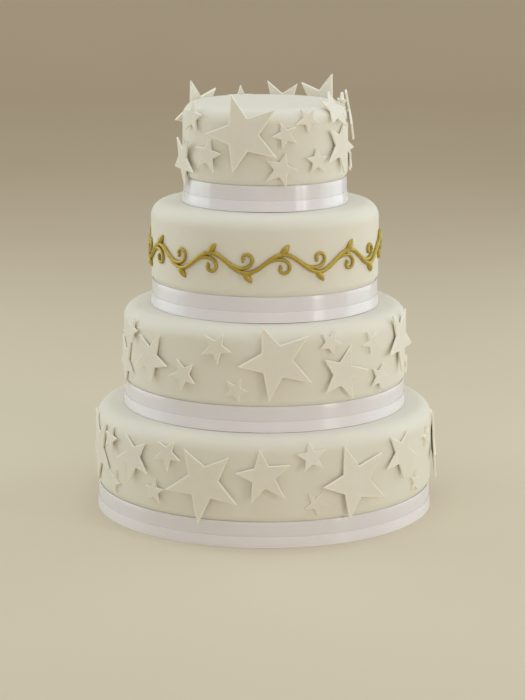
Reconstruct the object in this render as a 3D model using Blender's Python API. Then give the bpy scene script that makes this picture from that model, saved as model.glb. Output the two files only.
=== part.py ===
"""Four-tier fondant wedding cake with satin ribbons, fondant stars and a piped gold vine.

Units are metres and +Z is up. The front of the cake faces -Y, and the origin is the middle of its base.
Lengths are written in millimetres and multiplied by MM where a mesh is made.
"""
import math
from collections import namedtuple

import bmesh
import bpy
from mathutils import Matrix, Vector

MM = 0.001
GAP = 0.3
SEGMENTS = 60

# Tiers, from the board up: outer radius and height of the icing.
Tier = namedtuple("Tier", "name radius height")
TIERS = (
    Tier("bottom", 150.2, 94.0),
    Tier("second", 125.8, 89.2),
    Tier("third", 100.9, 90.7),
    Tier("top", 72.8, 87.2),
)
SHOULDER_RADIUS = 13.0
SHOULDER_STEPS = 4

# Satin ribbon at the foot of every tier: a wide band with a narrow one laid over its lower edge.
# The icing draws in behind it, so that the ribbon lies flush with the wall above.
RIBBON_WIDTH = 22.2
RIBBON_THICKNESS = 1.1
RIBBON_LOWER_WIDTH = 9.2
RIBBON_LOWER_THICKNESS = 1.7
RIBBON_FLARE = 0.2
WALL_TUCK = 2.0
TUCK_TOP = 22.6
SWELL_TOP = 26.0

# Fondant stars. A star's turn is clockwise as seen from outside, from one point straight up.
STAR_POINTS = 5
STAR_INNER_RATIO = 0.42
STAR_THICKNESS = 2.0
STAR_LEAN = 4
LARGE_FROM = 30.0
MEDIUM_FROM = 19.0
FUSED_BELOW = 12.0
FUSED_SINK = 1.5
FUSED_THICKNESS = 2.9

# Piped gold vine round the third tier.
VINE_HEIGHT = 51.0
VINE_PERIODS = 10
VINE_AMPLITUDE = 8.0
VINE_STROKE = 3.8
VINE_RISE = 2.4
VINE_STEPS_PER_PERIOD = 8
TENDRIL_STROKE = 3.2
TENDRIL_RISE = 2.0
TENDRIL_STEPS = 11
LEAF_LENGTH = 12.0
LEAF_WIDTH = 5.6
LEAF_STEPS = 3
LEAF_SLOPE = 52
# Section of a piped line, across and up, in shares of half its width and of its height.
PIPED_SECTION = ((-1.0, 0.0), (-0.55, 0.9), (0.55, 0.9), (1.0, 0.0))

FONDANT_COLOUR = (0.87, 0.84, 0.76, 1.0)
SATIN_COLOUR = (0.86, 0.86, 0.88, 1.0)
GOLD_COLOUR = (0.55, 0.38, 0.08, 1.0)

# Every star: azimuth in degrees from the front towards +X, height above the tier's foot,
# radius to the points, turn and lean in degrees (its top leans in against the icing).
Star = namedtuple("Star", "azimuth height radius turn lean", defaults=(STAR_LEAN,))
FRONT_STARS = {
    "bottom": (
        Star(-20, 53, 35.0, -30), Star(31, 54, 34.5, -21), Star(-75, 61, 34.5, -28),
        Star(89, 56, 34.5, -26), Star(0, 62, 25.0, -9), Star(-48, 65, 23.0, -28),
        Star(51, 68, 24.0, 31), Star(-33, 75, 15.0, 31), Star(15, 79, 14.0, -6, 20),
        Star(-61, 75, 12.5, 6, 10), Star(-38, 41, 12.0, 2), Star(-60, 38, 11.0, 20),
        Star(17, 38, 11.0, 31), Star(61, 38, 10.0, 12), Star(71, 72, 10.0, -8),
    ),
    "second": (
        Star(5, 61, 34.5, -23), Star(68, 65, 30.0, -36), Star(-50, 56, 24.0, 29),
        Star(-74, 44, 23.5, -32), Star(32, 48, 25.0, 17), Star(-19, 72, 15.0, 28),
        Star(-33, 46, 15.0, -27), Star(26, 76, 12.0, 28, 12), Star(51, 38, 13.5, 27),
        Star(-11, 37, 11.0, 23), Star(-64, 74, 12.0, 12, 10), Star(46, 71, 11.0, -31, 12),
        Star(87, 33, 9.5, 15),
    ),
    "top": (
        Star(-14, 67, 35.3, -20), Star(60, 52, 24.5, 25), Star(58, 83, 19.5, 16, 34),
        Star(-69, 38, 24.5, 36, -4), Star(90, 77, 24.5, 36, 10), Star(-125, 71, 34.0, 22),
        Star(135, 76, 34.0, -21), Star(169, 78, 24.0, 31), Star(13, 65, 12.5, -21),
        Star(10, 36, 15.5, 18), Star(36, 42, 12.5, -1), Star(29, 78, 12.5, 36, 8),
        Star(-57, 77, 15.5, 5), Star(-41, 46, 16.0, 8), Star(-162, 82, 13.0, 0),
        Star(93, 36, 12.0, 18), Star(112, 84, 9.0, 0),
    ),
}
# The far side mirrors the pattern of the front, out to BACK_LIMIT degrees, with a few more at the sides.
BACK_LIMIT = 55
BACK_SMALL_RADIUS = 10.5
BACK_EXTRAS = {
    "bottom": (Star(112, 60, 20.0, 14), Star(-116, 58, 22.0, 30)),
    "second": (Star(112, 58, 22.0, -12), Star(-110, 58, 23.0, 20)),
    "top": (
        Star(-155, 38, 23.0, -6), Star(-98, 36, 11.0, -20), Star(176, 33, 11.0, 12),
        Star(152, 38, 11.0, 30), Star(115, 33, 11.0, 10),
    ),
}


def clear_scene():
    """Remove every object, so that only the cake is left."""
    for item in list(bpy.data.objects):
        bpy.data.objects.remove(item, do_unlink=True)


def make_material(name, colour, roughness, metallic=0.0):
    """One Principled material."""
    material = bpy.data.materials.new(name)
    material.use_nodes = True
    shader = material.node_tree.nodes["Principled BSDF"]
    shader.inputs["Base Color"].default_value = colour
    shader.inputs["Roughness"].default_value = roughness
    shader.inputs["Metallic"].default_value = metallic
    material.diffuse_color = colour
    return material


def add_object(name, mesh_edit, material, collection=None):
    """Turn a bmesh into a named object in the scene, faces out, shaded smooth."""
    bmesh.ops.recalc_face_normals(mesh_edit, faces=mesh_edit.faces)
    if mesh_edit.calc_volume(signed=True) < 0:
        bmesh.ops.reverse_faces(mesh_edit, faces=mesh_edit.faces)
    mesh = bpy.data.meshes.new(name)
    mesh_edit.to_mesh(mesh)
    mesh_edit.free()
    mesh.shade_smooth()
    mesh.set_sharp_from_angle(angle=math.radians(35))
    mesh.materials.append(material)
    item = bpy.data.objects.new(name, mesh)
    (collection or bpy.context.scene.collection).objects.link(item)
    return item


def fuse(body, collection):
    """Join every object of a collection onto the body, and remove them."""
    modifier = body.modifiers.new("Union", "BOOLEAN")
    modifier.operation = "UNION"
    modifier.operand_type = "COLLECTION"
    modifier.collection = collection
    modifier.solver = "EXACT"
    depsgraph = bpy.context.evaluated_depsgraph_get()
    joined = bpy.data.meshes.new_from_object(body.evaluated_get(depsgraph))
    body.modifiers.remove(modifier)
    body.data = joined
    for item in list(collection.objects):
        bpy.data.objects.remove(item, do_unlink=True)
    bpy.data.collections.remove(collection)


def tier_foot(index):
    """Height of a tier's underside above the board; each tier rests on the one below."""
    return sum(tier.height + GAP for tier in TIERS[:index])


def icing_radius(tier, height):
    """Radius of the icing at a height above the tier's foot, over the rounded shoulder too."""
    over = height - (tier.height - SHOULDER_RADIUS)
    if over <= 0:
        return tier.radius
    if over >= SHOULDER_RADIUS:
        return 0.0
    return tier.radius - SHOULDER_RADIUS + math.sqrt(SHOULDER_RADIUS ** 2 - over ** 2)


# Tiers and ribbons, turned round the cake's axis

def turned_rings(shape, section, foot):
    """A ring of vertices for every corner (radius, height) of a section."""
    rings = []
    for radius, height in section:
        ring = []
        for step in range(SEGMENTS):
            angle = 2 * math.pi * step / SEGMENTS
            place = (radius * math.cos(angle), radius * math.sin(angle), height + foot)
            ring.append(shape.verts.new(Vector(place) * MM))
        rings.append(ring)
    return rings


def join_rings(shape, lower, upper):
    """A strip of faces between two rings."""
    for step in range(SEGMENTS):
        after = (step + 1) % SEGMENTS
        shape.faces.new((lower[step], lower[after], upper[after], upper[step]))


def tier_section(tier):
    """Corners of a tier's outline from its foot to its flat top, over the rounded shoulder."""
    section = [
        (tier.radius - WALL_TUCK, 0.0), (tier.radius - WALL_TUCK, TUCK_TOP), (tier.radius, SWELL_TOP),
    ]
    for step in range(SHOULDER_STEPS + 1):
        angle = math.pi / 2 * step / SHOULDER_STEPS
        section.append((tier.radius - SHOULDER_RADIUS * (1 - math.cos(angle)),
                        tier.height - SHOULDER_RADIUS * (1 - math.sin(angle))))
    return section


def build_tier(index, material):
    """A solid round tier with a soft shoulder, drawn in where the ribbon lies."""
    tier = TIERS[index]
    shape = bmesh.new()
    rings = turned_rings(shape, tier_section(tier), tier_foot(index))
    for lower, upper in zip(rings, rings[1:]):
        join_rings(shape, lower, upper)
    shape.faces.new(rings[0])
    shape.faces.new(rings[-1])
    return add_object("tier_" + tier.name, shape, material)


def ribbon_section(radius):
    """Corners of the ribbon's section as (radius, height): the lower band stands proud and flares."""
    inner = radius - WALL_TUCK + GAP
    upper = inner + RIBBON_THICKNESS
    lower = inner + RIBBON_LOWER_THICKNESS
    foot = GAP
    return (
        (inner, foot), (lower + RIBBON_FLARE, foot), (lower, RIBBON_LOWER_WIDTH),
        (upper, RIBBON_LOWER_WIDTH + RIBBON_FLARE), (upper, RIBBON_WIDTH), (inner, RIBBON_WIDTH),
    )


def build_ribbon(index, material):
    """The ribbon of one tier, a closed ring turned from its section."""
    tier = TIERS[index]
    shape = bmesh.new()
    rings = turned_rings(shape, ribbon_section(tier.radius), tier_foot(index))
    for lower, upper in zip(rings, rings[1:] + rings[:1]):
        join_rings(shape, lower, upper)
    return add_object("ribbon_" + tier.name, shape, material)


# Stars

def star_outline(radius):
    """Corners of a star, one point straight up."""
    corners = []
    for corner in range(2 * STAR_POINTS):
        reach = radius if corner % 2 == 0 else radius * STAR_INNER_RATIO
        angle = math.pi / 2 - corner * math.pi / STAR_POINTS
        corners.append(Vector((reach * math.cos(angle), reach * math.sin(angle), 0.0)))
    return corners


def star_matrix(tier, index, star, reach):
    """Place a star whose back faces the icing at this distance from the cake's axis."""
    return (
        Matrix.Rotation(math.radians(star.azimuth), 4, "Z")
        @ Matrix.Translation((0, -reach, tier_foot(index) + star.height))
        @ Matrix.Rotation(math.radians(90 - star.lean), 4, "X")
        @ Matrix.Rotation(math.radians(-star.turn), 4, "Z")
    )


def clear_reach(tier, index, star):
    """Smallest distance from the axis at which the star's back clears the icing."""
    outline = star_outline(star.radius)
    samples = outline + [corner * share for corner in outline for share in (0.0, 0.35, 0.7)]
    reach = tier.radius - SHOULDER_RADIUS
    while True:
        matrix = star_matrix(tier, index, star, reach)
        places = [matrix @ sample for sample in samples]
        if all(is_clear(tier, index, place) for place in places):
            return reach
        reach += 0.1


def is_clear(tier, index, place):
    """Whether a place lies outside the icing, with the usual gap."""
    height = place.z - tier_foot(index)
    wall = icing_radius(tier, height)
    return math.hypot(place.x, place.y) > wall + GAP + 0.1 or height > tier.height + GAP


def build_star(name, index, star, material, collection=None):
    """A flat star: standing off the icing, or sunk into it where it is to be fused."""
    tier = TIERS[index]
    fused = collection is not None
    thickness = FUSED_THICKNESS if fused else STAR_THICKNESS
    reach = tier.radius - FUSED_SINK if fused else clear_reach(tier, index, star)
    placed = star._replace(lean=0) if fused else star
    shape = bmesh.new()
    corners = [shape.verts.new(corner) for corner in star_outline(star.radius)]
    back = shape.faces.new(corners)
    front = bmesh.ops.extrude_face_region(shape, geom=[back])
    raised = [part for part in front["geom"] if isinstance(part, bmesh.types.BMVert)]
    bmesh.ops.translate(shape, verts=raised, vec=(0, 0, thickness))
    shape.transform(Matrix.Scale(MM, 4) @ star_matrix(tier, index, placed, reach))
    return add_object(name, shape, material, collection)


def back_star(star):
    """The front star's mirror image on the far side; small ones are all of one size there."""
    radius = star.radius if star.radius >= MEDIUM_FROM else BACK_SMALL_RADIUS
    return star._replace(azimuth=180 - star.azimuth, radius=radius, turn=-star.turn)


def stars_of(tier):
    """All stars of one tier."""
    front = FRONT_STARS[tier.name]
    back = ()
    if tier.name != "top":
        back = tuple(back_star(star) for star in front if abs(star.azimuth) <= BACK_LIMIT)
    return front + back + BACK_EXTRAS[tier.name]


def size_word(star):
    """Word for a star's size, used in its name."""
    if star.radius >= LARGE_FROM:
        return "large"
    return "medium" if star.radius >= MEDIUM_FROM else "small"


def build_stars(index, tier_object, material):
    """The stars of one tier: each its own piece, and the tiniest fused with the icing."""
    tier = TIERS[index]
    counts = {"large": 0, "medium": 0, "small": 0}
    tiny = bpy.data.collections.new("tiny_stars_" + tier.name)
    bpy.context.scene.collection.children.link(tiny)
    for star in stars_of(tier):
        if star.radius < FUSED_BELOW:
            build_star("tiny_star", index, star, material, tiny)
            continue
        word = size_word(star)
        counts[word] += 1
        build_star(f"star_{tier.name}_{word}_{counts[word]}", index, star, material)
    fuse(tier_object, tiny)


# Gold vine, drawn flat as (along, up) in millimetres and laid round the tier

def stem_point(along):
    """A point of the wavy stem."""
    return along, VINE_AMPLITUDE * math.sin(2 * math.pi * along / vine_period())


def vine_period():
    """Length of one wave of the stem round the tier."""
    return 2 * math.pi * TIERS[2].radius / VINE_PERIODS


def tendril_points(start, side):
    """A spiral that leaves the rising stem and curls up under its crest; side -1 mirrors it."""
    centre_along = start + vine_period() / 4
    centre_up = -4.0
    points = []
    for step in range(TENDRIL_STEPS + 1):
        swept = 7.0 * (step / TENDRIL_STEPS) ** 1.15
        reach = 10.0 * math.exp(-1.45 * swept) + 6.8 - 0.62 * swept
        angle = math.radians(169) - swept
        along = centre_along + reach * math.cos(angle)
        points.append((along, side * (centre_up + reach * math.sin(angle))))
    return points


def leaf_points(start, side):
    """The midline of a leaf that springs from a crest of the stem, pointing out and forward."""
    crest = start + vine_period() / 4
    points = []
    for step in range(LEAF_STEPS + 1):
        length = LEAF_LENGTH * step / LEAF_STEPS
        along = crest - 2.5 + length * math.cos(math.radians(LEAF_SLOPE))
        up = VINE_AMPLITUDE - 1.2 + length * math.sin(math.radians(LEAF_SLOPE))
        points.append((along, side * up))
    return points


def wall_frame(point, lift):
    """World place of a flat point, with the outward direction, at a lift above the icing."""
    radius = TIERS[2].radius + lift
    angle = point[0] / TIERS[2].radius
    outward = Vector((math.sin(angle), -math.cos(angle), 0))
    return outward * radius + Vector((0, 0, tier_foot(2) + VINE_HEIGHT + point[1])), outward


def direction_along(points, index, closed, lift):
    """Direction of travel at a point of a line, from its neighbours on the wall."""
    last = len(points) - 1
    before = points[index - 1] if index or closed else points[0]
    after = points[(index + 1) % len(points)] if index < last or closed else points[last]
    return wall_frame(after, lift)[0] - wall_frame(before, lift)[0]


def sweep(points, closed, stroke_at, rise_at, lift):
    """A piped line with a flat underside and a rounded back, along flat points."""
    shape = bmesh.new()
    rings = []
    for index, point in enumerate(points):
        share = index / (len(points) - 1)
        centre, outward = wall_frame(point, lift)
        across = direction_along(points, index, closed, lift).cross(outward).normalized()
        ring = []
        for side, up in PIPED_SECTION:
            place = centre + across * side * stroke_at(share) / 2 + outward * up * rise_at(share)
            ring.append(shape.verts.new(place * MM))
        rings.append(ring)
    pairs = list(zip(rings, rings[1:]))
    if closed:
        pairs.append((rings[-1], rings[0]))
    for ring, following in pairs:
        for corner in range(len(ring)):
            after = (corner + 1) % len(ring)
            shape.faces.new((ring[corner], following[corner], following[after], ring[after]))
    if not closed:
        shape.faces.new(rings[0])
        shape.faces.new(rings[-1])
    return shape


def build_tendril(start, side, material, collection):
    """One curl of the vine, thinner towards its end."""
    shape = sweep(tendril_points(start, side), False,
                  lambda share: TENDRIL_STROKE * (1 - 0.25 * share),
                  lambda share: TENDRIL_RISE * (1 - 0.15 * share), GAP + 0.2)
    add_object("tendril", shape, material, collection)


def build_leaf(start, side, material, collection):
    """One leaf of the vine, widest in its lower half."""
    shape = sweep(leaf_points(start, side), False,
                  lambda share: 0.8 + LEAF_WIDTH * math.sin(math.pi * (0.12 + 0.88 * share)) ** 0.8,
                  lambda share: 0.5 + 1.3 * math.sin(math.pi * (0.15 + 0.85 * share)), GAP + 0.25)
    add_object("leaf", shape, material, collection)


def build_vine(material):
    """The wavy stem all the way round, with a tendril and a leaf at every half wave, as one piece."""
    period = vine_period()
    steps = VINE_PERIODS * VINE_STEPS_PER_PERIOD
    stem = [stem_point(period * VINE_PERIODS * step / steps) for step in range(steps)]
    shape = sweep(stem, True, lambda share: VINE_STROKE, lambda share: VINE_RISE, GAP + 0.1)
    vine = add_object("gold_vine", shape, material)
    growth = bpy.data.collections.new("vine_growth")
    bpy.context.scene.collection.children.link(growth)
    for half in range(2 * VINE_PERIODS):
        start = half * period / 2
        side = 1 if half % 2 == 0 else -1
        build_tendril(start, side, material, growth)
        build_leaf(start, side, material, growth)
    fuse(vine, growth)


def main():
    """Build the whole cake."""
    clear_scene()
    fondant = make_material("fondant", FONDANT_COLOUR, 0.55)
    star_paste = make_material("star_paste", FONDANT_COLOUR, 0.5)
    satin = make_material("satin", SATIN_COLOUR, 0.35)
    gold = make_material("gold", GOLD_COLOUR, 0.4, 0.8)
    for index, tier in enumerate(TIERS):
        tier_object = build_tier(index, fondant)
        build_ribbon(index, satin)
        if tier.name in FRONT_STARS:
            build_stars(index, tier_object, star_paste)
    build_vine(gold)


main()
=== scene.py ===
"""Four-tier wedding cake in ivory fondant, dressed around its fixed frame.

The tiers, satin ribbons, sugar stars and piped gold vine are each made by one operator,
and one more sets up the camera, the soft light and the pale floor. Lengths are in metres,
and the tables below give them in millimetres.
"""
import math
from collections import namedtuple

import bmesh
import bpy
from mathutils import Matrix, Vector


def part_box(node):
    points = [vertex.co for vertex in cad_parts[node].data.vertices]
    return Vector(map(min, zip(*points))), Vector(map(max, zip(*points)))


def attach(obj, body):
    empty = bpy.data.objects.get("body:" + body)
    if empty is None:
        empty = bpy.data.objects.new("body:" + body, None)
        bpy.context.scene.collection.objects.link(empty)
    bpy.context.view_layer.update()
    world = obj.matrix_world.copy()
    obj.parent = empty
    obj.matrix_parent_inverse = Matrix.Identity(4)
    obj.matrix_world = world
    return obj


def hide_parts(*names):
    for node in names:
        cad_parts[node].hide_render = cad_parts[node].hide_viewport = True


bl_info = {
    "name": "Tiered wedding cake",
    "version": (1, 0, 0),
    "blender": (4, 5, 0),
    "location": "View3D > Sidebar > Cake",
    "description": "Models a four-tier fondant cake with satin ribbons, sugar stars and a gold vine",
    "category": "Add Mesh",
}

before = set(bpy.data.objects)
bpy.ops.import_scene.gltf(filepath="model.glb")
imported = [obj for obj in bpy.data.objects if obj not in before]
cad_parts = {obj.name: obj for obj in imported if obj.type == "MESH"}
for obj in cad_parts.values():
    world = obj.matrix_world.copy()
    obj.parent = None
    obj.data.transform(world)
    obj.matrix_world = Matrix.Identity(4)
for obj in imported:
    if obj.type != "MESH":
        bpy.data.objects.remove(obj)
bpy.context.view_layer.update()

MM = 0.001

# Tiers from the floor up, in millimetres: radius of the icing and its height.
Tier = namedtuple("Tier", "name radius height")
TIERS = (
    Tier("bottom", 150.2, 94.0),
    Tier("second", 125.8, 89.2),
    Tier("third", 100.9, 90.7),
    Tier("top", 72.8, 87.2),
)
ROUND_STEPS = 192
WALL_CUTS = 40
TOP_RINGS = 6
FOOT_ROUNDING = 1.5
# Waves that the smoothing hand leaves in the icing: their depth and their length.
HAND_WAVE = 0.5
HAND_WAVE_LENGTH = 60
# How far the icing draws in behind the ribbon, and the heights between which it swells again.
WALL_TUCK = 2.0
TUCK_TOP = 22.6
SWELL_TOP = 26.0

# Tiny stars pressed into the icing, in millimetres and degrees: azimuth from the front
# towards the right, height above the tier's foot, radius to the points and clockwise turn.
TINY_STARS = {
    "bottom": (
        (-60, 38, 11.0, 20), (17, 38, 11.0, 31), (61, 38, 10.0, 12), (71, 72, 10.0, -8),
        (213, 75, 10.5, -31), (165, 79, 10.5, 6), (218, 41, 10.5, -2), (163, 38, 10.5, -31),
    ),
    "second": (
        (-11, 37, 11.0, 23), (46, 71, 11.0, -31), (87, 33, 9.5, 15), (199, 72, 10.5, -28),
        (213, 46, 10.5, 27), (154, 76, 10.5, -28), (129, 38, 10.5, -27), (191, 37, 10.5, -23),
        (134, 71, 10.5, 31),
    ),
    "top": (
        (112, 84, 9.0, 0), (-98, 36, 11.0, -20), (176, 33, 11.0, 12), (152, 38, 11.0, 30),
        (115, 33, 11.0, 10),
    ),
}
TINY_SINK = 1.0
TINY_THICKNESS = 2.9
TINY_EDGE = 0.5

# The star that all others are copied from, its inner corners at this share of its radius, and
# the warp that drying leaves in the paste.
PATTERN_RADIUS = 30
INNER_SHARE = 0.42
WARP = 0.9
WARP_LENGTH = 30
WARP_MIDDLE = 0.35

# A star was pressed round the wall before it dried, by this share of the gap behind its points,
# and some lie almost flat against the wall.
PRESSED = 0.08
PRESSED_FLAT = 0.9
PRESSED_GAP = 0.1
FLAT_STARS = ("star_bottom_large_3", "star_second_medium_2")

# Rows of the ribbon's section, in millimetres: height above the tier's foot and distance
# of the ribbon's inner side from the wall's line, inwards of it where negative.
RIBBON_ROWS = (
    (0.1, -1.2), (1.0, -1.15), (5.0, -1.05), (9.5, -0.98), (14.0, -0.98), (18.0, -1.0),
    (20.4, -1.1), (21.4, -1.3), (22.1, -1.55),
)
FOOT_BAND_ROWS = ((0.05, 0.1), (1.1, 0.05), (3.5, -0.12), (6.5, -0.32), (8.5, -0.45), (9.3, -0.52))
RIBBON_THICKNESS = 0.3
# The lap at the back: its steps, in radians, and how far each lifts the ribbon.
LAP_STEP = 0.022
LAP_LIFTS = (0.3, 0.2, 0.0, 0.0)

# The gold vine, in millimetres, laid round the third tier.
VINE_PERIODS = 10
VINE_HEIGHT = 51.0
VINE_AMPLITUDE = 8.0
TENDRIL_TURN = 7.0
TENDRIL_START = 169
TENDRIL_STEPS = 44
LEAF_LENGTH = 12.0
LEAF_SLOPE = 52
LEAF_STEPS = 16
# How far the middle of each kind of line stands above the icing, and the least gap under it.
STEM_LIFT = 0.9
TENDRIL_LIFT = 0.8
LEAF_LIFT = 0.5
PIPING_GAP = 0.15

# Studio lights in metres and watts, each at its azimuth from the front towards the right.
Softbox = namedtuple("Softbox", "name azimuth distance height size power tint aim")
SOFTBOXES = (
    Softbox("left_softbox", -108, 1.5, 0.4, (1.3, 1.4), 9.4, "#EAFBFF", 0.2),
    Softbox("right_softbox", 112, 1.5, 0.4, (1.3, 1.4), 9.2, "#EAFBFF", 0.2),
    Softbox("right_strip", 53, 1.7, 0.5, (0.22, 0.9), 3.7, "#FFFAF6", 0.2),
    Softbox("front_fill", 5, 2.7, 0.3, (2.0, 1.2), 4.6, "#FFF3E8", 0.2),
    Softbox("top_softbox", 0, 0.15, 1.5, (1.0, 1.0), 6.3, "#E2F4FF", 0.0),
)

# The camera, as the photograph's perspective gives it: metres, millimetres and degrees.
CAMERA_PLACE = (-0.0018, -1.950, 0.5645)
CAMERA_LENS = 114.28
CAMERA_SENSOR = 36
CAMERA_DIP = 12.32
CAMERA_ROLL = 0.181


def from_hex(code):
    """Linear colour of an sRGB hex code."""
    channels = [int(code[place:place + 2], 16) / 255 for place in (1, 3, 5)]
    linear = [c / 12.92 if c <= 0.04045 else ((c + 0.055) / 1.055) ** 2.4 for c in channels]
    return (*linear, 1.0)


class CakeSizes(bpy.types.PropertyGroup):
    """Sizes that a decorator would change."""

    shoulder: bpy.props.FloatProperty(
        name="Shoulder", description="Radius of the rounded upper edge of each tier",
        default=0.013, min=0.002, max=0.03, unit="LENGTH", subtype="DISTANCE")
    star_thickness: bpy.props.FloatProperty(
        name="Star thickness", description="Thickness of the rolled paste of the stars",
        default=0.002, min=0.001, max=0.005, unit="LENGTH", subtype="DISTANCE")
    star_edge: bpy.props.FloatProperty(
        name="Star edge", description="Rounding of the cut edge of a star",
        default=0.0008, min=0.0001, max=0.001, unit="LENGTH", subtype="DISTANCE")
    stroke: bpy.props.FloatProperty(
        name="Stem width", description="Width of the piped stem of the vine",
        default=0.0038, min=0.002, max=0.006, unit="LENGTH", subtype="DISTANCE")


class CakeColours(bpy.types.PropertyGroup):
    """Colours that a decorator would change."""

    icing: bpy.props.FloatVectorProperty(
        name="Icing", description="Ivory of the rolled fondant",
        default=from_hex("#EAE7DB"), size=4, min=0.0, max=1.0, subtype="COLOR")
    stars: bpy.props.FloatVectorProperty(
        name="Stars", description="Dried sugar paste of the stars",
        default=from_hex("#ECE8DC"), size=4, min=0.0, max=1.0, subtype="COLOR")
    ribbon: bpy.props.FloatVectorProperty(
        name="Ribbon", description="White of the satin",
        default=from_hex("#F1EEF3"), size=4, min=0.0, max=1.0, subtype="COLOR")
    gold: bpy.props.FloatVectorProperty(
        name="Gold", description="Lustre paint of the vine",
        default=from_hex("#C6AE52"), size=4, min=0.0, max=1.0, subtype="COLOR")


def clear_selection():
    """Leave edit mode and deselect every object."""
    if bpy.context.object and bpy.context.object.mode != "OBJECT":
        bpy.ops.object.mode_set(mode="OBJECT")
    bpy.ops.object.select_all(action="DESELECT")


def pick(item):
    """Make one object the only selected and the active one."""
    clear_selection()
    item.select_set(True)
    bpy.context.view_layer.objects.active = item


def name_new(name):
    """Name the object that was just added, and its mesh."""
    item = bpy.context.object
    item.name = name
    item.data.name = name
    return item


def settle(item):
    """Put the object's place into its mesh, so that it sits at the origin."""
    pick(item)
    bpy.ops.object.transform_apply(location=True, rotation=True, scale=True)


def choose(item, kind, wanted):
    """In edit mode, select only the vertices, edges or faces that a test picks out."""
    bpy.ops.mesh.select_mode(type=kind)
    bpy.ops.mesh.select_all(action="DESELECT")
    shape = bmesh.from_edit_mesh(item.data)
    parts = {"VERT": shape.verts, "EDGE": shape.edges, "FACE": shape.faces}[kind]
    for part in parts:
        if wanted(part):
            part.select_set(True)
    shape.select_flush_mode()
    bmesh.update_edit_mesh(item.data)


def apply_modifier(item, kind, **settings):
    """Add a modifier with these settings and apply it."""
    pick(item)
    modifier = item.modifiers.new(kind.title(), kind)
    for name, value in settings.items():
        setattr(modifier, name, value)
    bpy.ops.object.modifier_apply(modifier=modifier.name)


def finish_piece(item, material, slot, *nodes):
    """Give a piece its material and its place on the frame; slot is not used."""
    item.data.materials.clear()
    item.data.materials.append(material)
    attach(item, "root")
    if nodes:
        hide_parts(*nodes)


def tier_foot(tier):
    """Height of a tier's underside."""
    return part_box("tier_" + tier.name)[0][2]


# Materials

def add_node(tree, kind, settings=None, links=None):
    """Add a node, give its settings and input values, and link its inputs."""
    node = tree.nodes.new(kind)
    for name, value in (settings or {}).items():
        if name in node.inputs:
            node.inputs[name].default_value = value
        else:
            setattr(node, name, value)
    for name, socket in (links or {}).items():
        tree.links.new(socket, node.inputs[name])
    return node


def new_material(name):
    """An empty material, with its tree and its output."""
    material = bpy.data.materials.new(name)
    material.use_nodes = True
    tree = material.node_tree
    tree.nodes.clear()
    return material, tree, add_node(tree, "ShaderNodeOutputMaterial")


def darker(colour, share):
    """A colour with this share of its light, its warmth kept."""
    return (colour[0] * share, colour[1] * share, colour[2] * share, 1.0)


def rolled_fondant(colours):
    """Rolled fondant: matt sugar icing, smoothed by hand, faintly mottled and dusted."""
    material, tree, output = new_material("Rolled fondant, hand smoothed")
    coords = add_node(tree, "ShaderNodeTexCoord").outputs["Object"]
    # Clouds of tone about 35 mm across, where the icing is thinner over the sponge.
    clouds = add_node(tree, "ShaderNodeTexNoise", {"Scale": 28.0, "Detail": 3.0, "Roughness": 0.5},
                      {"Vector": coords})
    tone = add_node(tree, "ShaderNodeMix", {"data_type": "RGBA"}, {"Factor": clouds.outputs["Fac"]})
    tone.inputs["A"].default_value = darker(colours.icing, 0.965)
    tone.inputs["B"].default_value = darker(colours.icing, 1.02)
    # Sugar grain of about 0.4 mm and smoother marks drawn round the tier.
    grain = add_node(tree, "ShaderNodeTexNoise", {"Scale": 1600.0, "Detail": 2.0}, {"Vector": coords})
    drawn = add_node(tree, "ShaderNodeMapping", {"Scale": (18.0, 18.0, 140.0)}, {"Vector": coords})
    marks = add_node(tree, "ShaderNodeTexNoise", {"Scale": 1.0, "Detail": 4.0, "Roughness": 0.6},
                     {"Vector": drawn.outputs["Vector"]})
    gloss = add_node(tree, "ShaderNodeMapRange", {"To Min": 0.52, "To Max": 0.66},
                     {"Value": marks.outputs["Fac"]})
    swell = add_node(tree, "ShaderNodeBump", {"Strength": 0.5, "Distance": 0.0003},
                     {"Height": marks.outputs["Fac"]})
    bump = add_node(tree, "ShaderNodeBump", {"Strength": 0.35, "Distance": 0.00008},
                    {"Height": grain.outputs["Fac"], "Normal": swell.outputs["Normal"]})
    shader = add_node(
        tree, "ShaderNodeBsdfPrincipled",
        {"Subsurface Weight": 0.12, "Subsurface Radius": (1.0, 0.8, 0.55), "Subsurface Scale": 0.004,
         "Specular IOR Level": 0.35, "IOR": 1.45},
        {"Base Color": tone.outputs["Result"], "Roughness": gloss.outputs["Result"],
         "Normal": bump.outputs["Normal"]})
    tree.links.new(shader.outputs["BSDF"], output.inputs["Surface"])
    return material


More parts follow.
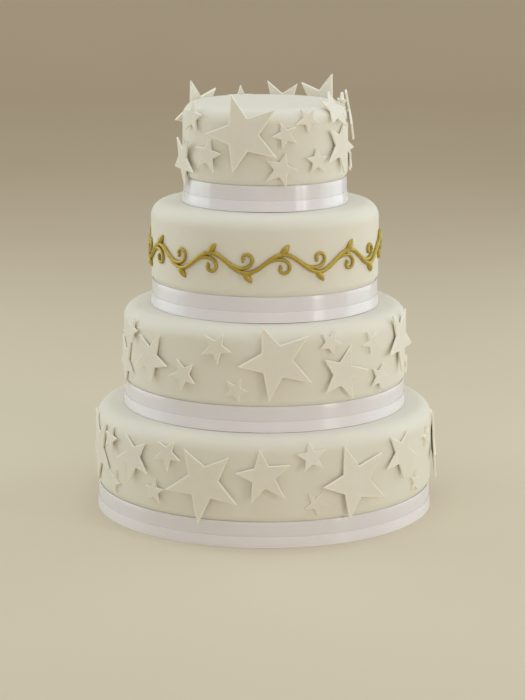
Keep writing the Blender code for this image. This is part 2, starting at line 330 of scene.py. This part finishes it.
def dried_sugar_paste(colours):
    """Dried sugar paste: rolled thin and cut, chalk-matt, with a trace of cornflour and a painted
    highlight along the cut edge.
    """
    material, tree, output = new_material("Dried sugar paste, rolled and cut")
    coords = add_node(tree, "ShaderNodeTexCoord").outputs["Object"]
    # Cornflour lies in soft patches of about 6 mm.
    patches = add_node(tree, "ShaderNodeTexNoise", {"Scale": 160.0, "Detail": 4.0, "Roughness": 0.6},
                       {"Vector": coords})
    tone = add_node(tree, "ShaderNodeMix", {"data_type": "RGBA"}, {"Factor": patches.outputs["Fac"]})
    tone.inputs["A"].default_value = darker(colours.stars, 0.95)
    tone.inputs["B"].default_value = darker(colours.stars, 1.02)
    # A painted highlight along the cut edge, where its rounding would catch the light.
    edge = add_node(tree, "ShaderNodeAttribute", {"attribute_name": "painted_edge_highlight"})
    near = add_node(tree, "ShaderNodeMapRange", {"interpolation_type": "SMOOTHSTEP", "From Min": 0.4},
                    {"Value": edge.outputs["Fac"]})
    edge_highlight_tone = add_node(tree, "ShaderNodeMix", {"data_type": "RGBA"},
                    {"Factor": near.outputs["Result"], "A": tone.outputs["Result"]})
    edge_highlight_tone.inputs["B"].default_value = darker(colours.stars, 1.13)
    grain = add_node(tree, "ShaderNodeTexNoise", {"Scale": 1800.0, "Detail": 3.0}, {"Vector": coords})
    gloss = add_node(tree, "ShaderNodeMapRange", {"To Min": 0.6, "To Max": 0.75},
                     {"Value": patches.outputs["Fac"]})
    ripple = add_node(tree, "ShaderNodeBump", {"Strength": 0.3, "Distance": 0.0002},
                      {"Height": patches.outputs["Fac"]})
    bump = add_node(tree, "ShaderNodeBump", {"Strength": 0.4, "Distance": 0.00008},
                    {"Height": grain.outputs["Fac"], "Normal": ripple.outputs["Normal"]})
    shader = add_node(
        tree, "ShaderNodeBsdfPrincipled",
        {"Subsurface Weight": 0.2, "Subsurface Radius": (1.0, 0.8, 0.6), "Subsurface Scale": 0.003,
         "Specular IOR Level": 0.3, "IOR": 1.45},
        {"Base Color": edge_highlight_tone.outputs["Result"], "Roughness": gloss.outputs["Result"],
         "Normal": bump.outputs["Normal"]})
    tree.links.new(shader.outputs["BSDF"], output.inputs["Surface"])
    return material


def satin_ribbon(name, colour):
    """Woven satin: long floats run along the ribbon, so that light forms upright streaks."""
    material, tree, output = new_material(name)
    place = add_node(tree, "ShaderNodeUVMap", {"uv_map": "ribbon"})
    edge = add_node(tree, "ShaderNodeAttribute", {"attribute_name": "selvedge"})
    # Real floats are 0.1 mm apart, and are drawn 0.6 mm apart to show at all.
    floats = add_node(tree, "ShaderNodeMapping", {"Scale": (40.0, 1700.0, 1.0)},
                      {"Vector": place.outputs["UV"]})
    weave = add_node(tree, "ShaderNodeTexNoise", {"Scale": 1.0, "Detail": 2.0},
                     {"Vector": floats.outputs["Vector"]})
    tone = add_node(tree, "ShaderNodeMix", {"data_type": "RGBA"}, {"Factor": weave.outputs["Fac"]})
    tone.inputs["A"].default_value = darker(colour, 0.97)
    tone.inputs["B"].default_value = darker(colour, 1.02)
    rim = add_node(tree, "ShaderNodeMix", {"data_type": "RGBA"},
                   {"Factor": edge.outputs["Fac"], "A": tone.outputs["Result"]})
    rim.inputs["B"].default_value = darker(colour, 1.06)
    gloss = add_node(tree, "ShaderNodeMapRange", {"To Min": 0.27, "To Max": 0.45},
                     {"Value": edge.outputs["Fac"]})
    bump = add_node(tree, "ShaderNodeBump", {"Strength": 0.25, "Distance": 0.00005},
                    {"Height": weave.outputs["Fac"]})
    along = add_node(tree, "ShaderNodeTangent", {"direction_type": "UV_MAP", "uv_map": "ribbon"})
    shader = add_node(
        tree, "ShaderNodeBsdfPrincipled",
        {"Anisotropic": 0.8, "Anisotropic Rotation": 0.25, "Specular IOR Level": 0.95,
         "Sheen Weight": 0.15, "Sheen Roughness": 0.4, "IOR": 1.5},
        {"Base Color": rim.outputs["Result"], "Roughness": gloss.outputs["Result"],
         "Normal": bump.outputs["Normal"], "Tangent": along.outputs["Tangent"]})
    tree.links.new(shader.outputs["BSDF"], output.inputs["Surface"])
    return material


def gold_lustre(colours):
    """Gold lustre powder brushed wet on piped icing: metallic, soft and a little patchy."""
    material, tree, output = new_material("Gold lustre paint on piped icing")
    coords = add_node(tree, "ShaderNodeTexCoord").outputs["Object"]
    # Brush marks of about 1.2 mm, where the powder lies thicker.
    brushed = add_node(tree, "ShaderNodeTexNoise", {"Scale": 800.0, "Detail": 3.0, "Roughness": 0.6},
                       {"Vector": coords})
    tone = add_node(tree, "ShaderNodeMix", {"data_type": "RGBA"}, {"Factor": brushed.outputs["Fac"]})
    tone.inputs["A"].default_value = darker(colours.gold, 0.62)
    tone.inputs["B"].default_value = darker(colours.gold, 1.15)
    gloss = add_node(tree, "ShaderNodeMapRange", {"To Min": 0.34, "To Max": 0.55},
                     {"Value": brushed.outputs["Fac"]})
    bump = add_node(tree, "ShaderNodeBump", {"Strength": 0.5, "Distance": 0.0002},
                    {"Height": brushed.outputs["Fac"]})
    shader = add_node(
        tree, "ShaderNodeBsdfPrincipled", {"Metallic": 0.75},
        {"Base Color": tone.outputs["Result"], "Roughness": gloss.outputs["Result"],
         "Normal": bump.outputs["Normal"]})
    tree.links.new(shader.outputs["BSDF"], output.inputs["Surface"])
    return material


# Tiers

def draw_in(item, tier, foot):
    """Draw the icing in behind the ribbon, with a soft swell above it."""
    for vertex in item.data.vertices:
        share = ((vertex.co.z - foot) / MM - TUCK_TOP) / (SWELL_TOP - TUCK_TOP)
        share = min(max(share, 0.0), 1.0)
        tuck = WALL_TUCK * (1 - share * share * (3 - 2 * share))
        scale = 1 - tuck / tier.radius
        vertex.co.x *= scale
        vertex.co.y *= scale


def model_tier(tier, sizes):
    """A drum with a soft shoulder, a slightly rounded foot and a hand-smoothed wall."""
    foot = tier_foot(tier)
    radius = tier.radius * MM
    height = tier.height * MM
    top = foot + height
    clear_selection()
    bpy.ops.mesh.primitive_cylinder_add(vertices=ROUND_STEPS, radius=radius, depth=height,
                                        location=(0, 0, foot + height / 2))
    item = name_new("icing_" + tier.name)
    settle(item)
    bpy.ops.object.mode_set(mode="EDIT")
    choose(item, "EDGE", lambda edge: all(abs(v.co.z - top) < 1e-6 for v in edge.verts))
    bpy.ops.mesh.bevel(offset=sizes.shoulder, segments=10, profile=0.5, affect="EDGES")
    choose(item, "EDGE", lambda edge: all(abs(v.co.z - foot) < 1e-6 for v in edge.verts))
    bpy.ops.mesh.bevel(offset=FOOT_ROUNDING * MM, segments=3, profile=0.5, affect="EDGES")
    choose(item, "EDGE", lambda edge: abs(edge.verts[0].co.z - edge.verts[1].co.z) > height / 2)
    bpy.ops.mesh.subdivide(number_cuts=WALL_CUTS)
    choose(item, "FACE", lambda face: len(face.verts) == ROUND_STEPS)
    for _ in range(TOP_RINGS):
        bpy.ops.mesh.inset(thickness=(radius - sizes.shoulder) / (TOP_RINGS + 1))
    bpy.ops.mesh.poke()
    bpy.ops.object.mode_set(mode="OBJECT")
    draw_in(item, tier, foot)
    wall = item.vertex_groups.new(name="wall")
    wall.add([v.index for v in item.data.vertices if v.co.z > foot + 2.5 * MM], 1.0, "REPLACE")
    hand = bpy.data.textures.new("hand smoothing", "CLOUDS")
    hand.noise_scale = HAND_WAVE_LENGTH * MM
    hand.noise_depth = 1
    apply_modifier(item, "DISPLACE", texture=hand, texture_coords="LOCAL", direction="NORMAL",
                   strength=HAND_WAVE * MM, mid_level=0.5, vertex_group="wall")
    bpy.ops.object.shade_smooth()
    return item


class CAKE_OT_tiers(bpy.types.Operator):
    """Model the four iced tiers"""

    bl_idname = "cake.tiers"
    bl_label = "Iced tiers"

    def execute(self, context):
        material = rolled_fondant(context.scene.cake_colours)
        for tier in TIERS:
            item = model_tier(tier, context.scene.cake_sizes)
            finish_piece(item, material, "fondant", "tier_" + tier.name)
        return {"FINISHED"}


# Ribbons

def ripple(angle, tier):
    """Slight waves of a ribbon that lies on hand-smoothed icing, in millimetres."""
    start = tier.radius / 10
    waves = 0.05 * math.sin(19 * angle + start) + 0.04 * math.sin(31 * angle + 2 * start)
    return waves + 0.03 * math.sin(53 * angle + 3 * start)


def model_band(tier, name, rows):
    """A band wound once round a tier, its end lapped over its start at the back."""
    foot = tier_foot(tier)
    start = (tier.radius + rows[0][1]) * MM
    clear_selection()
    bpy.ops.mesh.primitive_circle_add(vertices=2 * ROUND_STEPS, radius=start, fill_type="NOTHING",
                                      location=(0, 0, foot + rows[0][0] * MM))
    item = name_new(name)
    settle(item)
    bpy.ops.object.mode_set(mode="EDIT")
    choose(item, "EDGE", lambda edge: True)
    for below, above in zip(rows, rows[1:]):
        share = (tier.radius + above[1]) / (tier.radius + below[1])
        rise = (above[0] - below[0]) * MM
        bpy.ops.mesh.extrude_region_move(TRANSFORM_OT_translate={"value": (0, 0, rise)})
        bpy.ops.transform.resize(value=(share, share, 1))
    # Open the ring at the back and carry one end on over the other.
    choose(item, "EDGE", lambda edge: all(abs(v.co.x) < 1e-6 and v.co.y > 0 for v in edge.verts))
    bpy.ops.mesh.edge_split(type="EDGE")
    choose(item, "EDGE", lambda edge: len(edge.link_faces) == 1 and is_back_end(edge))
    for lift in LAP_LIFTS:
        bpy.ops.mesh.extrude_region_move()
        bpy.ops.transform.rotate(value=LAP_STEP, orient_axis="Z", center_override=(0, 0, 0))
        share = 1 + lift / tier.radius
        bpy.ops.transform.resize(value=(share, share, 1), center_override=(0, 0, 0))
    bpy.ops.object.mode_set(mode="OBJECT")
    return item


def is_back_end(edge):
    """Whether this is the ribbon's end that lies to the right of the seam at the back."""
    upright = all(abs(v.co.x) < 1e-6 and v.co.y > 0 for v in edge.verts)
    return upright and edge.link_faces[0].calc_center_median().x > 0


def lay_out_band(item, tier, rows):
    """Mark the selvedges, write the band's flat place as a UV map, and ripple it."""
    mesh = item.data
    foot = tier_foot(tier)
    low = foot + rows[0][0] * MM
    high = foot + rows[-1][0] * MM
    selvedge = mesh.attributes.new("selvedge", "FLOAT", "POINT")
    for vertex in mesh.vertices:
        edge = min(vertex.co.z - low, high - vertex.co.z)
        selvedge.data[vertex.index].value = 1.0 if edge < 1e-5 else 0.0
        angle = math.atan2(vertex.co.y, vertex.co.x)
        reach = math.hypot(vertex.co.x, vertex.co.y)
        share = 1 + ripple(angle, tier) * MM / reach
        vertex.co.x *= share
        vertex.co.y *= share
    layer = mesh.uv_layers.new(name="ribbon")
    for face in mesh.polygons:
        middle = math.atan2(face.center.x, -face.center.y)
        for loop in face.loop_indices:
            place = mesh.vertices[mesh.loops[loop].vertex_index].co
            angle = math.atan2(place.x, -place.y)
            if angle - middle > math.pi:
                angle -= 2 * math.pi
            if middle - angle > math.pi:
                angle += 2 * math.pi
            layer.data[loop].uv = (angle * tier.radius * MM, place.z - low)


def finish_band(item):
    """Give the band its thickness, outwards, and smooth it."""
    pick(item)
    bpy.ops.object.mode_set(mode="EDIT")
    bpy.ops.mesh.select_all(action="SELECT")
    bpy.ops.mesh.normals_make_consistent(inside=False)
    bpy.ops.object.mode_set(mode="OBJECT")
    face = item.data.polygons[0]
    if face.normal.dot(Vector((face.center.x, face.center.y, 0))) < 0:
        item.data.flip_normals()
    apply_modifier(item, "SOLIDIFY", thickness=RIBBON_THICKNESS * MM, offset=1.0)
    bpy.ops.object.shade_smooth_by_angle(angle=math.radians(40))


class CAKE_OT_ribbons(bpy.types.Operator):
    """Wind the satin ribbons round the foot of each tier"""

    bl_idname = "cake.ribbons"
    bl_label = "Satin ribbons"

    def execute(self, context):
        white = context.scene.cake_colours.ribbon
        # The wide band is painted 7% darker than the foot band: partly a whiter foot ribbon, and partly
        # painted light for the top light that the upturned foot band catches.
        wide = satin_ribbon("Polyester satin ribbon, woven", darker(white, 0.93))
        narrow = satin_ribbon("Polyester satin ribbon, bright white", white)
        for tier in TIERS:
            for name, rows, material in (("ribbon_" + tier.name + "_wide", RIBBON_ROWS, wide),
                                         ("ribbon_" + tier.name + "_foot", FOOT_BAND_ROWS, narrow)):
                band = model_band(tier, name, rows)
                lay_out_band(band, tier, rows)
                finish_band(band)
                finish_piece(band, material, "satin", "ribbon_" + tier.name)
        return {"FINISHED"}


# Stars

def cut_star(radius):
    """One flat five-pointed star, cut from the sheet, with faces enough to warp a little."""
    clear_selection()
    bpy.ops.mesh.primitive_circle_add(vertices=10, radius=radius, fill_type="NGON")
    item = name_new("star_pattern")
    bpy.ops.object.mode_set(mode="EDIT")
    choose(item, "VERT", lambda vertex: is_inner_corner(vertex.co))
    bpy.ops.transform.resize(value=(INNER_SHARE, INNER_SHARE, 1))
    bpy.ops.mesh.select_all(action="SELECT")
    bpy.ops.mesh.poke()
    bpy.ops.mesh.subdivide(number_cuts=3)
    shape = bmesh.from_edit_mesh(item.data)
    # The boundary is the mask for the painted highlight along the cut edge.
    painted_edge_highlight = shape.verts.layers.float.new("painted_edge_highlight")
    for vertex in shape.verts:
        vertex[painted_edge_highlight] = 1.0 if vertex.is_boundary else 0.0
    bmesh.update_edit_mesh(item.data)
    bpy.ops.object.mode_set(mode="OBJECT")
    return item


def is_inner_corner(place):
    """Whether a corner of the ten-sided pattern lies between two points of the star."""
    steps = round(math.atan2(place.x, place.y) / (math.pi / 5))
    return steps % 2 == 1


def copy_star(pattern, name, radius, matrix):
    """A copy of the pattern with its own mesh, at its size and place."""
    item = pattern.copy()
    item.data = pattern.data.copy()
    item.name = name
    item.data.name = name
    bpy.context.collection.objects.link(item)
    share = radius / (PATTERN_RADIUS * MM)
    item.matrix_world = matrix @ Matrix.Diagonal((share, share, 1, 1))
    settle(item)
    return item


def press_to_wall(item, radius, share):
    """Bring the flat sheet's points closer to a wall of this radius, by this share of their gap."""
    for vertex in item.data.vertices:
        reach = math.hypot(vertex.co.x, vertex.co.y)
        gap = max(reach - radius - PRESSED_GAP * MM, 0.0)
        scale = 1 - share * gap / reach
        vertex.co.x *= scale
        vertex.co.y *= scale


def finish_star(item, thickness, edge):
    """Warp the sheet a little, thicken it outwards and round its cut edge."""
    drying = bpy.data.textures.get("drying warp") or bpy.data.textures.new("drying warp", "CLOUDS")
    drying.noise_scale = WARP_LENGTH * MM
    drying.noise_depth = 0
    apply_modifier(item, "DISPLACE", texture=drying, texture_coords="LOCAL", direction="NORMAL",
                   strength=WARP * MM, mid_level=WARP_MIDDLE)
    apply_modifier(item, "SOLIDIFY", thickness=thickness, offset=1.0)
    apply_modifier(item, "BEVEL", width=edge, segments=3, limit_method="ANGLE",
                   angle_limit=math.radians(30), harden_normals=True)


def star_in_frame(node):
    """Back middle, outward direction, direction of one point and radius of a star."""
    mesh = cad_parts[node].data
    widest = max(mesh.polygons, key=lambda face: face.area)
    outward = widest.normal.copy()
    if outward.dot(Vector((widest.center.x, widest.center.y, 0))) < 0:
        outward.negate()
    corners = {tuple(round(value, 6) for value in vertex.co) for vertex in mesh.vertices}
    corners = [Vector(corner) for corner in corners]
    back = min(corner.dot(outward) for corner in corners)
    behind = [corner for corner in corners if corner.dot(outward) < back + 0.5 * MM]
    middle = sum(behind, Vector()) / len(behind)
    tip = max(behind, key=lambda corner: (corner - middle).length)
    return middle, outward, (tip - middle).normalized(), (tip - middle).length


def facing(middle, outward, upward):
    """Matrix that stands a flat pattern at a place, its Y along upward and its Z outward."""
    side = upward.cross(outward).normalized()
    turn = Matrix((side, outward.cross(side), outward)).transposed().to_4x4()
    return Matrix.Translation(middle) @ turn


class CAKE_OT_stars(bpy.types.Operator):
    """Cut the sugar stars and set them round the tiers"""

    bl_idname = "cake.stars"
    bl_label = "Sugar stars"

    def execute(self, context):
        sizes = context.scene.cake_sizes
        material = dried_sugar_paste(context.scene.cake_colours)
        radii = {tier.name: tier.radius * MM for tier in TIERS}
        pattern = cut_star(PATTERN_RADIUS * MM)
        for node in sorted(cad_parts):
            if not node.startswith("star_"):
                continue
            middle, outward, upward, radius = star_in_frame(node)
            item = copy_star(pattern, "sugar_" + node, radius, facing(middle, outward, upward))
            share = PRESSED_FLAT if node in FLAT_STARS else PRESSED
            press_to_wall(item, radii[node.split("_")[1]], share)
            finish_star(item, sizes.star_thickness, sizes.star_edge)
            finish_piece(item, material, "star_paste", node)
        for tier in TIERS:
            for number, tiny in enumerate(TINY_STARS.get(tier.name, ()), 1):
                azimuth, height, radius, turn = tiny
                matrix = (Matrix.Rotation(math.radians(azimuth), 4, "Z")
                          @ Matrix.Translation((0, -(tier.radius - TINY_SINK) * MM,
                                                tier_foot(tier) + height * MM))
                          @ Matrix.Rotation(math.radians(90), 4, "X")
                          @ Matrix.Rotation(math.radians(-turn), 4, "Z"))
                name = f"sugar_star_{tier.name}_tiny_{number}"
                item = copy_star(pattern, name, radius * MM, matrix)
                finish_star(item, TINY_THICKNESS * MM, TINY_EDGE * MM)
                finish_piece(item, material, "star_paste")
        bpy.data.objects.remove(pattern, do_unlink=True)
        return {"FINISHED"}


# Gold vine, drawn flat as (along, up) in millimetres and laid round the third tier

def vine_period():
    """Length of one wave of the stem."""
    return 2 * math.pi * TIERS[2].radius / VINE_PERIODS


def on_wall(along, up, lift):
    """Place on the third tier's icing of a flat point, at a lift above it."""
    angle = along / TIERS[2].radius
    reach = TIERS[2].radius + lift
    height = tier_foot(TIERS[2]) / MM + VINE_HEIGHT + up
    return Vector((reach * math.sin(angle), -reach * math.cos(angle), height)) * MM


def stem_line():
    """Flat points of the wavy stem, all the way round."""
    steps = 48 * VINE_PERIODS
    whole = vine_period() * VINE_PERIODS
    return [(whole * step / steps, VINE_AMPLITUDE * math.sin(2 * math.pi * VINE_PERIODS * step / steps))
            for step in range(steps)]


def tendril_line(start, side):
    """Flat points of a spiral that leaves the stem and curls up under its crest."""
    points = []
    for step in range(TENDRIL_STEPS + 1):
        swept = TENDRIL_TURN * (step / TENDRIL_STEPS) ** 1.15
        reach = 10.0 * math.exp(-1.45 * swept) + 6.8 - 0.62 * swept
        angle = math.radians(TENDRIL_START) - swept
        along = start + vine_period() / 4 + reach * math.cos(angle)
        points.append((along, side * (-4.0 + reach * math.sin(angle))))
    return points


def leaf_line(start, side):
    """Flat points of the midline of a leaf that springs from a crest of the stem."""
    points = []
    for step in range(LEAF_STEPS + 1):
        length = LEAF_LENGTH * step / LEAF_STEPS
        along = start + vine_period() / 4 - 2.5 + length * math.cos(math.radians(LEAF_SLOPE))
        points.append((along, side * (VINE_AMPLITUDE - 1.2 + length * math.sin(math.radians(LEAF_SLOPE)))))
    return points


def piping(name, lines, closed, half_width, lift):
    """Piped lines as one round tube each, thickest where half_width says."""
    curve = bpy.data.curves.new(name, "CURVE")
    curve.dimensions = "3D"
    curve.bevel_depth = 1.0 * MM
    curve.bevel_resolution = 3
    curve.use_fill_caps = True
    for number, line in enumerate(lines):
        spline = curve.splines.new("POLY")
        spline.points.add(len(line) - 1)
        spline.use_cyclic_u = closed
        for index, (along, up) in enumerate(line):
            spline.points[index].co = (*on_wall(along, up, lift), 1.0)
            spline.points[index].radius = half_width(index / (len(line) - 1), number, along)
    item = bpy.data.objects.new(name, curve)
    bpy.context.collection.objects.link(item)
    pick(item)
    bpy.ops.object.convert(target="MESH")
    return bpy.context.object


def uneven(along, number):
    """Small swellings of a hand-piped line, about 3 mm apart."""
    return 1 + 0.05 * math.sin(2.1 * along + number) + 0.04 * math.sin(3.7 * along + 2 * number)


class CAKE_OT_vine(bpy.types.Operator):
    """Pipe the gold vine round the third tier"""

    bl_idname = "cake.vine"
    bl_label = "Gold vine"

    def execute(self, context):
        sizes = context.scene.cake_sizes
        half = sizes.stroke / 2 / MM
        starts = [(number * vine_period() / 2, 1 if number % 2 == 0 else -1)
                  for number in range(2 * VINE_PERIODS)]
        stem = piping("stem", [stem_line()], True,
                      lambda share, number, along: half * uneven(along, number), STEM_LIFT)
        curls = piping("curls", [tendril_line(*start) for start in starts], False,
                       lambda share, number, along:
                       half * (0.88 - 0.2 * share) * uneven(along, number) + tip_ball(share),
                       TENDRIL_LIFT)
        leaves = piping("leaves", [leaf_line(*start) for start in starts], False,
                        lambda share, number, along:
                        0.4 + 2.5 * math.sin(math.pi * (0.1 + 0.9 * share)) ** 0.8, LEAF_LIFT)
        clear_selection()
        for item in (curls, leaves, stem):
            item.select_set(True)
        bpy.context.view_layer.objects.active = stem
        bpy.ops.object.join()
        vine = name_new("gold_vine_piping")
        rest_on_wall(vine, TIERS[2].radius)
        bpy.ops.object.shade_smooth()
        finish_piece(vine, gold_lustre(context.scene.cake_colours), "gold", "gold_vine")
        return {"FINISHED"}


def tip_ball(share):
    """Extra half width at the end of a curl, where the bag is lifted off."""
    return 0.75 * math.exp(-((share - 0.97) / 0.035) ** 2)


def rest_on_wall(item, radius):
    """Flatten the underside of the piping where it lies on the icing."""
    least = (radius + PIPING_GAP) * MM
    for vertex in item.data.vertices:
        reach = math.hypot(vertex.co.x, vertex.co.y)
        if reach < least:
            vertex.co.x *= least / reach
            vertex.co.y *= least / reach


# Stage

def add_softbox(box):
    """A soft rectangular light that faces the cake."""
    angle = math.radians(box.azimuth)
    place = Vector((box.distance * math.sin(angle), -box.distance * math.cos(angle), box.height))
    bpy.ops.object.light_add(type="AREA", location=place)
    light = bpy.context.object
    light.name = box.name
    light.data.name = box.name
    light.data.shape = "RECTANGLE"
    light.data.size = box.size[0]
    light.data.size_y = box.size[1]
    light.data.energy = box.power
    light.data.color = from_hex(box.tint)[:3]
    look = Vector((0, 0, box.aim)) - place
    light.rotation_euler = look.to_track_quat("-Z", "Y").to_euler()


def floor_material():
    """Plain pale matt board for the floor and the sweep behind."""
    material, tree, output = new_material("Pale matt studio floor")
    coords = add_node(tree, "ShaderNodeTexCoord").outputs["Object"]
    noise = add_node(tree, "ShaderNodeTexNoise", {"Scale": 3.0, "Detail": 2.0}, {"Vector": coords})
    tone = add_node(tree, "ShaderNodeMix", {"data_type": "RGBA"}, {"Factor": noise.outputs["Fac"]})
    tone.inputs["A"].default_value = from_hex("#DCD1BB")
    tone.inputs["B"].default_value = from_hex("#E1D6C0")
    shader = add_node(tree, "ShaderNodeBsdfPrincipled", {"Roughness": 0.8},
                      {"Base Color": tone.outputs["Result"]})
    tree.links.new(shader.outputs["BSDF"], output.inputs["Surface"])
    return material


class CAKE_OT_stage(bpy.types.Operator):
    """Set up the camera, the soft light and the pale floor"""

    bl_idname = "cake.stage"
    bl_label = "Studio stage"

    def execute(self, context):
        clear_selection()
        bpy.ops.mesh.primitive_plane_add(size=8, location=(0, 1.0, 0))
        floor = name_new("floor")
        settle(floor)
        bpy.ops.object.mode_set(mode="EDIT")
        choose(floor, "EDGE", lambda edge: all(v.co.y > 4.9 for v in edge.verts))
        bpy.ops.mesh.extrude_region_move(TRANSFORM_OT_translate={"value": (0, 0, 4)})
        choose(floor, "EDGE", lambda edge: all(v.co.y > 4.9 and v.co.z < 0.1 for v in edge.verts))
        bpy.ops.mesh.bevel(offset=1.5, segments=16, affect="EDGES")
        bpy.ops.object.mode_set(mode="OBJECT")
        bpy.ops.object.shade_smooth()
        floor.data.materials.append(floor_material())
        for box in SOFTBOXES:
            add_softbox(box)
        world = bpy.data.worlds.new("soft room")
        world.use_nodes = True
        world.node_tree.nodes["Background"].inputs["Color"].default_value = from_hex("#FFF7EA")
        world.node_tree.nodes["Background"].inputs["Strength"].default_value = 0.49
        context.scene.world = world
        context.scene.view_settings.view_transform = "Standard"
        bpy.ops.object.camera_add(location=CAMERA_PLACE)
        camera = bpy.context.object
        camera.name = "camera"
        camera.data.lens = CAMERA_LENS
        camera.data.sensor_width = CAMERA_SENSOR
        tilt = Matrix.Rotation(math.radians(90 - CAMERA_DIP), 3, "X")
        roll = Matrix.Rotation(math.radians(CAMERA_ROLL), 3, "Z")
        camera.rotation_euler = (tilt @ roll).to_euler()
        context.scene.camera = camera
        return {"FINISHED"}


class CAKE_PT_steps(bpy.types.Panel):
    """The steps of making the cake, in order"""

    bl_idname = "CAKE_PT_steps"
    bl_label = "Wedding cake"
    bl_space_type = "VIEW_3D"
    bl_region_type = "UI"
    bl_category = "Cake"

    def draw(self, context):
        layout = self.layout
        for operator in OPERATORS:
            layout.operator(operator.bl_idname)
        for group in (context.scene.cake_sizes, context.scene.cake_colours):
            box = layout.box()
            for name in group.__annotations__:
                box.prop(group, name)


OPERATORS = (CAKE_OT_tiers, CAKE_OT_ribbons, CAKE_OT_stars, CAKE_OT_vine, CAKE_OT_stage)
CLASSES = (CakeSizes, CakeColours, *OPERATORS, CAKE_PT_steps)


def register():
    """Register every class and its settings."""
    for item in CLASSES:
        bpy.utils.register_class(item)
    bpy.types.Scene.cake_sizes = bpy.props.PointerProperty(type=CakeSizes)
    bpy.types.Scene.cake_colours = bpy.props.PointerProperty(type=CakeColours)


def unregister():
    """Take everything back out."""
    del bpy.types.Scene.cake_colours
    del bpy.types.Scene.cake_sizes
    for item in reversed(CLASSES):
        bpy.utils.unregister_class(item)


def main():
    """Make the whole cake."""
    register()
    bpy.ops.cake.tiers()
    bpy.ops.cake.ribbons()
    bpy.ops.cake.stars()
    bpy.ops.cake.vine()
    bpy.ops.cake.stage()
    bpy.context.view_layer.update()


if __name__ == "__main__":
    main()
